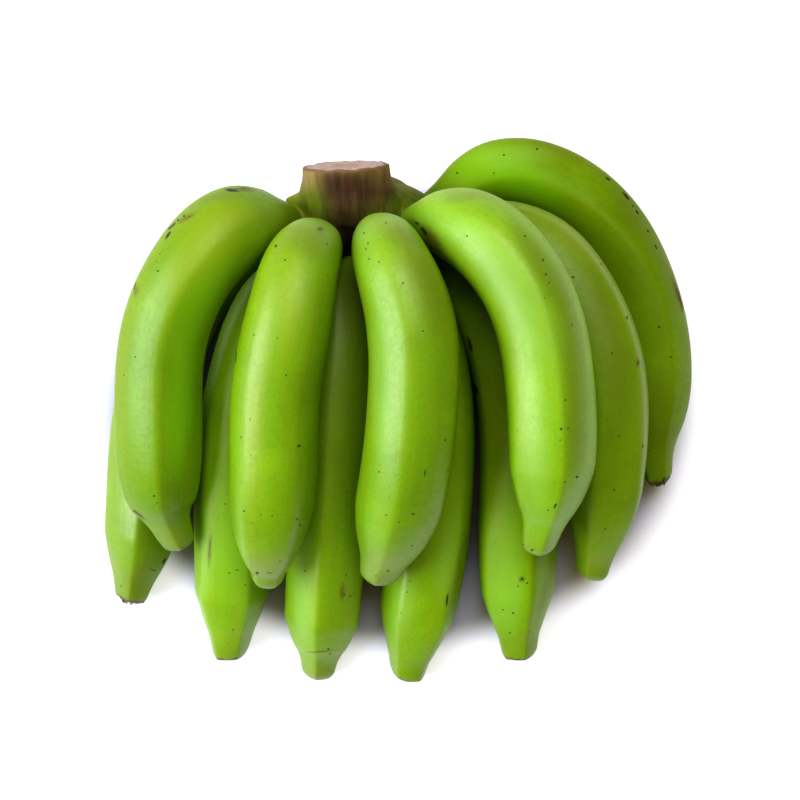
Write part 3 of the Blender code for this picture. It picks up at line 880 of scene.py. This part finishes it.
def stub_rings():
    lean = math.radians(STUB_TILT)
    rings = []
    for centre, half_wide, half_high in STUB:
        ring = []
        for angle in turns(STUB_SIDES):
            across = half_wide * math.cos(angle)
            rise = half_high * math.sin(angle)
            offset = Vector((across, -rise * math.sin(lean), rise * math.cos(lean)))
            ring.append(Vector(centre) + offset + TO_BASE)
        rings.append(ring)
    return rings


def leaf_base_rings(path):
    rings = []
    for centre, radius in path:
        ring = []
        for angle in turns(LEAF_SIDES):
            offset = Vector((0.0, math.cos(angle), math.sin(angle))) * radius
            ring.append(Vector(centre) + offset + TO_BASE)
        rings.append(ring)
    return rings


def root_rings(name):
    """Rings of the flared root that joins one neck to the cushion."""
    half_girth, _, points = FINGERS[name]
    line, length = even_line(points)
    ahead, ups = frames_of(line)
    flat = FORM[name]["flat"]
    rings = []
    for step in range(ROOT_RINGS):
        run = ROOT_START + ROOT_PACE * step
        i = int(round(run / length * (len(line) - 1)))
        place = i / (len(line) - 1)
        grow = 1.0 - ROOT_NARROWING * ramp(step, 0, ROOT_RINGS - 1)
        grow = ROOT_FLARE.get(name, ROOT_FLARE_REST) * grow
        side = ahead[i].cross(ups[i])
        ring = []
        for angle in turns(ROOT_SIDES):
            swing = swing_at(name, angle, place)
            reach = half_girth * girth_share(name, place) * section(angle, place, flat) * grow
            out = ups[i] * math.cos(swing) + side * math.sin(swing)
            ring.append(line[i] + out * reach + TO_BASE)
        rings.append(ring)
    return rings


def remeshed(bm, passes):
    """The same form with even faces of one size, joined into one skin and softened."""
    rough = bpy.data.meshes.new("crown_rough")
    bm.to_mesh(rough)
    bm.free()
    obj = bpy.data.objects.new("crown_rough", rough)
    bpy.context.scene.collection.objects.link(obj)
    even = obj.modifiers.new("even", "REMESH")
    even.mode = "VOXEL"
    even.voxel_size = CROWN_GRAIN * MM
    soften = obj.modifiers.new("soften", "SMOOTH")
    soften.factor = 0.5
    soften.iterations = passes
    graph = bpy.context.evaluated_depsgraph_get()
    done = bpy.data.meshes.new_from_object(obj.evaluated_get(graph))
    bpy.data.objects.remove(obj, do_unlink=True)
    bpy.data.meshes.remove(rough)
    even_bm = bmesh.new()
    even_bm.from_mesh(done)
    bpy.data.meshes.remove(done)
    return even_bm


def crown_mesh():
    joined = bmesh.new()
    parts = []
    pad = bmesh.new()
    bmesh.ops.create_uvsphere(pad, u_segments=64, v_segments=40, radius=1.0)
    for vert in pad.verts:
        co = [PAD_CENTRE[k] + vert.co[k] * PAD_HALF[k] for k in range(3)]
        vert.co = (Vector(co) + TO_BASE) * MM
    parts.append(pad)
    parts.append(bent_tube(stub_rings(), STUB_SIDES))
    for path in LEAF_BASES:
        parts.append(bent_tube(leaf_base_rings(path), LEAF_SIDES))
    for name in FINGERS:
        parts.append(bent_tube(root_rings(name), ROOT_SIDES))
    for part in parts:
        bmesh.ops.recalc_face_normals(part, faces=part.faces[:])
        piece = bpy.data.meshes.new("crown_part")
        part.to_mesh(piece)
        part.free()
        joined.from_mesh(piece)
        bpy.data.meshes.remove(piece)
    return remeshed(joined, CROWN_SOFTENING)


def cut_stub(bm):
    """Cuts the stub across and roughens the cut face and its rim."""
    lean = math.radians(CUT_TILT)
    normal = Vector((-math.tan(math.radians(CUT_TURN)), math.cos(lean), math.sin(lean))).normalized()
    middle = (Vector(CUT_CENTRE) + TO_BASE) * MM
    parts = bm.verts[:] + bm.edges[:] + bm.faces[:]
    bmesh.ops.bisect_plane(bm, geom=parts, plane_co=middle, plane_no=normal, clear_outer=True)
    rim = [edge for edge in bm.edges if edge.is_boundary]
    bmesh.ops.holes_fill(bm, edges=rim, sides=0)
    bm = remeshed(bm, 0)
    cut = bm.verts.layers.float.new("cut")
    for vert in bm.verts:
        above = (vert.co - middle).dot(normal) / MM
        vert[cut] = ramp(above, -0.9, -0.25)
        near_cut = ramp(above, -2.0, -0.3)
        vert.co += normal * noise.noise(vert.co * CUT_PACE) * CUT_ROUGH * MM * near_cut
        vert.co = inside(vert.co)
    return bm


def crown_material():
    shader = Shader("crown_fibre")
    here = shader.millimetres()
    cut = shader.attribute("cut")
    streaks = shader.grain(here, 0.34, 4.0, 0.6, (1.0, 0.13, 1.0))
    broad = shader.grain(here, 0.10, 3.0, 0.5, (1.0, 0.35, 1.0))
    fine = shader.grain(here, 1.6, 3.0, 0.6, (1.0, 0.25, 1.0))
    split = shader.put("SeparateXYZ")
    shader.feed(split.inputs["Vector"], here)
    across = split.outputs["X"]
    length = split.outputs["Y"]
    shifted = shader.plus(across, shader.swayed(broad, 8.0))
    off_line = shader.math("ABSOLUTE", shader.plus(across, -RED_LINE))
    brown = shader.mix(shader.spread(streaks, 0.30, 0.70), *BROWN)
    brown = shader.tinted(brown, shader.spread(off_line, 1.6, 0.3), 0.45, RED_LINE_TONE)
    tone = shader.spread(streaks, 0.30, 0.72)
    tan = shader.mix(tone, *TAN)

    # Green at the foot and on the right, a shoulder on the left that dries to tan towards the cut
    foot = shader.spread(off_line, 2.0, 11.0, 0.15, 0.65)
    foot = shader.times(shader.spread(length, 87.0, 77.0), foot)
    right_foot = shader.spread(length, 91.0, 82.0)
    right_foot = shader.times(shader.spread(shifted, -12.0, -2.0), right_foot)
    right = shader.spread(shifted, -6.0, 2.0)
    greener = shader.math("MAXIMUM", right, shader.math("MAXIMUM", right_foot, foot))
    colour = shader.mix(greener, brown, shader.mix(tone, *DULL_GREEN))
    shoulder = shader.mix(shader.spread(length, 84.0, 93.0), shader.mix(tone, *FRESH_GREEN), tan)
    left = shader.spread(shifted, -25.5, -37.0)
    colour = shader.mix(left, colour, shoulder)
    colour = shader.tinted(colour, shader.spread(length, 91.0, 97.0), 0.40, tan)
    dried = shader.times(shader.spread(shifted, -17.0, -4.0), shader.spread(length, 86.0, 92.0))
    colour = shader.tinted(colour, dried, 0.28, tan)
    # Painted shade: the crown darkens towards near black where its front goes down between the fingers,
    # less so on the left
    notch_shade = shader.spread(left, 0.0, 1.0, 0.7, 0.25)
    colour = shader.tinted(colour, shader.spread(length, 80.0, 72.0), notch_shade, NOTCH_SHADE_TONE)

    # The cut face: browner core, pale flesh, brown sheath, dry rim
    outwards = shader.oval(here, Vector(CUT_CENTRE) + TO_BASE, CUT_FACE)
    outwards = shader.plus(outwards, shader.swayed(fine, 0.10))
    face = shader.mix(shader.spread(fine, 0.35, 0.65), *FLESH)
    face = shader.mix(shader.spread(outwards, 0.55, 0.15), face, CORE_TONE)
    face = shader.mix(shader.spread(outwards, 0.86, 0.95), face, SHEATH_TONE)
    colour = shader.mix(cut, colour, face)
    rim = shader.times(cut, shader.math("SUBTRACT", 1.0, cut))
    colour = shader.tinted(colour, rim, 2.4, CUT_RIM_TONE)
    rough = shader.spread(streaks, 0.3, 0.7, 0.5, 0.7)
    height = shader.plus(shader.times(streaks, 0.8), shader.times(fine, 0.4))
    return shader.finished(colour, rough, CROWN_GLOSS, height, 0.6, 0.0006)


for finger in FINGERS:
    bm = skin(finger)
    tree = BVHTree.FromBMesh(bm)
    new_piece(finger + "_skin", bm, peel_material(finger, tree), finger)
new_piece("crown_skin", cut_stub(crown_mesh()), crown_material(), "crown")


# Floor, light and camera

def floor_material():
    shader = Shader("floor_white")
    away = shader.oval(shader.millimetres(), SHADE_MIDDLE, SHADE_HALF)
    # Painted shadow: the floor's colour darkens towards the oval's middle, and a painted glow lights
    # the floor outside the oval
    shade = shader.mix(shader.spread(away, 0.50, 0.80), *SHADE_TONES)
    base = shader.mix(shader.spread(away, 0.85, 1.15), shade, FLOOR_TONE)
    glow = shader.spread(away, 0.90, 1.04, 0.0, GLOW_STRENGTH)
    shader.feed(shader.surface.inputs["Base Color"], base)
    shader.surface.inputs["Roughness"].default_value = 0.9
    shader.surface.inputs["Emission Color"].default_value = (*GLOW_TONE, 1.0)
    shader.feed(shader.surface.inputs["Emission Strength"], glow)
    return shader.material


floor_shape = bmesh.new()
bmesh.ops.create_grid(floor_shape, x_segments=1, y_segments=1, size=4.0)
floor_mesh = bpy.data.meshes.new("floor")
floor_shape.to_mesh(floor_mesh)
floor_shape.free()
floor_mesh.materials.append(floor_material())
floor = bpy.data.objects.new("floor", floor_mesh)
bpy.context.scene.collection.objects.link(floor)


def area_light(name, place, size, power, colour):
    data = bpy.data.lights.new(name, "AREA")
    data.shape = "DISK"
    data.size = size
    data.energy = power
    data.color = colour
    obj = bpy.data.objects.new(name, data)
    obj.location = place
    aim = Vector(LIGHT_TARGET) - Vector(place)
    obj.rotation_euler = aim.to_track_quat("-Z", "Y").to_euler()
    bpy.context.scene.collection.objects.link(obj)


for softbox in SOFTBOXES:
    area_light(*softbox)

# The room is brighter on the softbox's side than on the far one
world = bpy.data.worlds.new("studio")
world.use_nodes = True
paint = world.node_tree
where = paint.nodes.new("ShaderNodeTexCoord")
facing = paint.nodes.new("ShaderNodeVectorMath")
facing.operation = "DOT_PRODUCT"
facing.inputs[1].default_value = Vector(ROOM_SIDE).normalized()
room = paint.nodes.new("ShaderNodeMapRange")
room.interpolation_type = "SMOOTHSTEP"
room.inputs["From Min"].default_value = -0.5
room.inputs["From Max"].default_value = 1.0
room.inputs["To Min"].default_value = ROOM_LIGHT[0]
room.inputs["To Max"].default_value = ROOM_LIGHT[1]
rays = paint.nodes.new("ShaderNodeLightPath")
level = paint.nodes.new("ShaderNodeMix")
level.inputs["B"].default_value = 1.0
back = paint.nodes["Background"]
back.inputs["Color"].default_value = (*ROOM_TONE, 1.0)
paint.links.new(where.outputs["Generated"], facing.inputs[0])
paint.links.new(facing.outputs["Value"], room.inputs["Value"])
paint.links.new(room.outputs["Result"], level.inputs["A"])
paint.links.new(rays.outputs["Is Camera Ray"], level.inputs["Factor"])
paint.links.new(level.outputs["Result"], back.inputs["Strength"])
bpy.context.scene.world = world
bpy.context.scene.view_settings.view_transform = "Standard"
bpy.context.scene.view_settings.look = "High Contrast"

lens = bpy.data.cameras.new("camera")
lens.sensor_width = LENS_SENSOR
lens.lens = LENS_SENSOR * EYE_HEIGHT / (PICTURE * MM_PER_PIXEL)
lens.clip_end = 20.0
camera = bpy.data.objects.new("camera", lens)
camera.location = (Vector((0.0, 0.0, EYE_HEIGHT)) + TO_BASE) * MM
bpy.context.scene.collection.objects.link(camera)
bpy.context.scene.camera = camera
